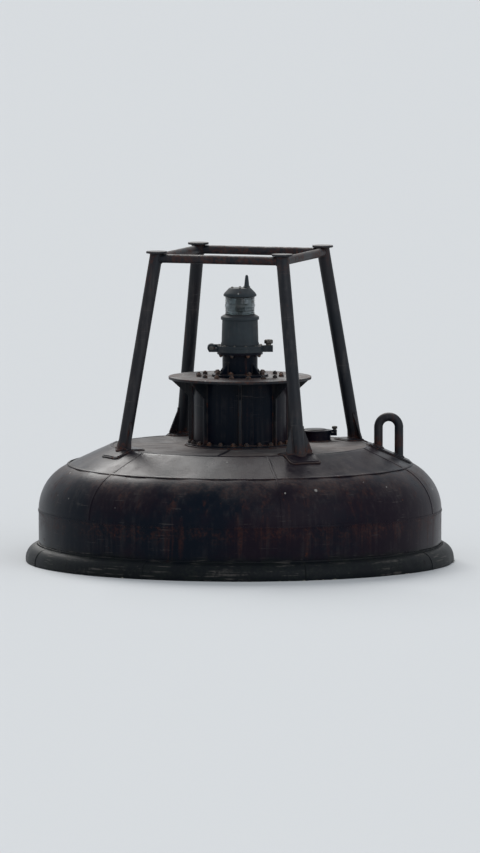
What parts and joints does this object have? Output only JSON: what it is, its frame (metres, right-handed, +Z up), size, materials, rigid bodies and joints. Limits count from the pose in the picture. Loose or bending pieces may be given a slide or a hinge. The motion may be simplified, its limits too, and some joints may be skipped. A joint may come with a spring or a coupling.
{
  "type": "navigation buoy",
  "caption": "Round decked steel navigation buoy with a four-legged lantern cage, battery drum, hinged lantern, lifting eye and ballasted tail with a mooring lug.",
  "frame": {"origin": "centre of the float at the waterline", "axes": "+Z up, +X towards the lifting eye, +Y away from the picture's camera"},
  "size_m": [2.556, 2.5554, 3.804],
  "materials": {
    "hull_paint": "weathered semi-gloss dark maroon paint with rust and salt",
    "deck_paint": "matt, scuffed and dusty with dried salt",
    "frame_paint": "weathered near-black paint with rust at the welds",
    "lantern_paint": "satin dark grey cast housing",
    "fitting_metal": "dull stained stainless",
    "ballast_iron": "rough rusted casting",
    "lens_glass": "clear moulded lens, salt-hazed",
    "lamp_metal": "satin",
    "zinc": "pitted dull zinc"
  },
  "bodies": {
    "buoy": {"hull_side": "hull_paint", "hull_shoulder": "hull_paint", "deck_plate": "deck_paint", "hull_bottom": "hull_paint", "rubbing_strake": "frame_paint", "foot_doublers": "hull_paint", "leg_1": "frame_paint", "leg_2": "frame_paint", "leg_3": "frame_paint", "leg_4": "frame_paint", "leg_caps": "frame_paint", "rail_1": "frame_paint", "rail_2": "frame_paint", "rail_3": "frame_paint", "rail_4": "frame_paint", "drum_base": "hull_paint", "battery_drum": "hull_paint", "drum_ribs": "frame_paint", "service_plate": "frame_paint", "pedestal": "hull_paint", "pedestal_gussets": "hull_paint", "lantern_base": "lantern_paint", "hinge_pin": "fitting_metal", "lifting_pad": "hull_paint", "lifting_eye": "frame_paint", "valve_coaming": "hull_paint", "valve_plug": "fitting_metal", "valve_pin": "fitting_metal", "tail_tube": "hull_paint", "tail_gussets": "hull_paint", "ballast_1": "ballast_iron", "ballast_2": "ballast_iron", "ballast_3": "ballast_iron", "keel_plate": "hull_paint", "mooring_lug": "frame_paint", "anodes": "zinc"},
    "lantern": {"lantern_body": "lantern_paint", "lens": "lens_glass", "lamp": "lamp_metal", "lantern_cap": "lantern_paint", "aerial": "lantern_paint", "hand_screw": "fitting_metal"},
    "lid": {"valve_lid": "hull_paint", "valve_screw": "fitting_metal"}
  },
  "joints": [
    {"name": "lantern_hinge", "type": "hinge", "parent": "buoy", "child": "lantern", "pos_m": [-0.17, 0, 1.271], "axis": [0, -1, 0], "range_deg": [0, 90]},
    {"name": "lid_hinge", "type": "hinge", "parent": "buoy", "child": "lid", "pos_m": [0.33356, 0.30096, 0.744], "axis": [0, -1, 0], "range_deg": [0, 100]}
  ]
}
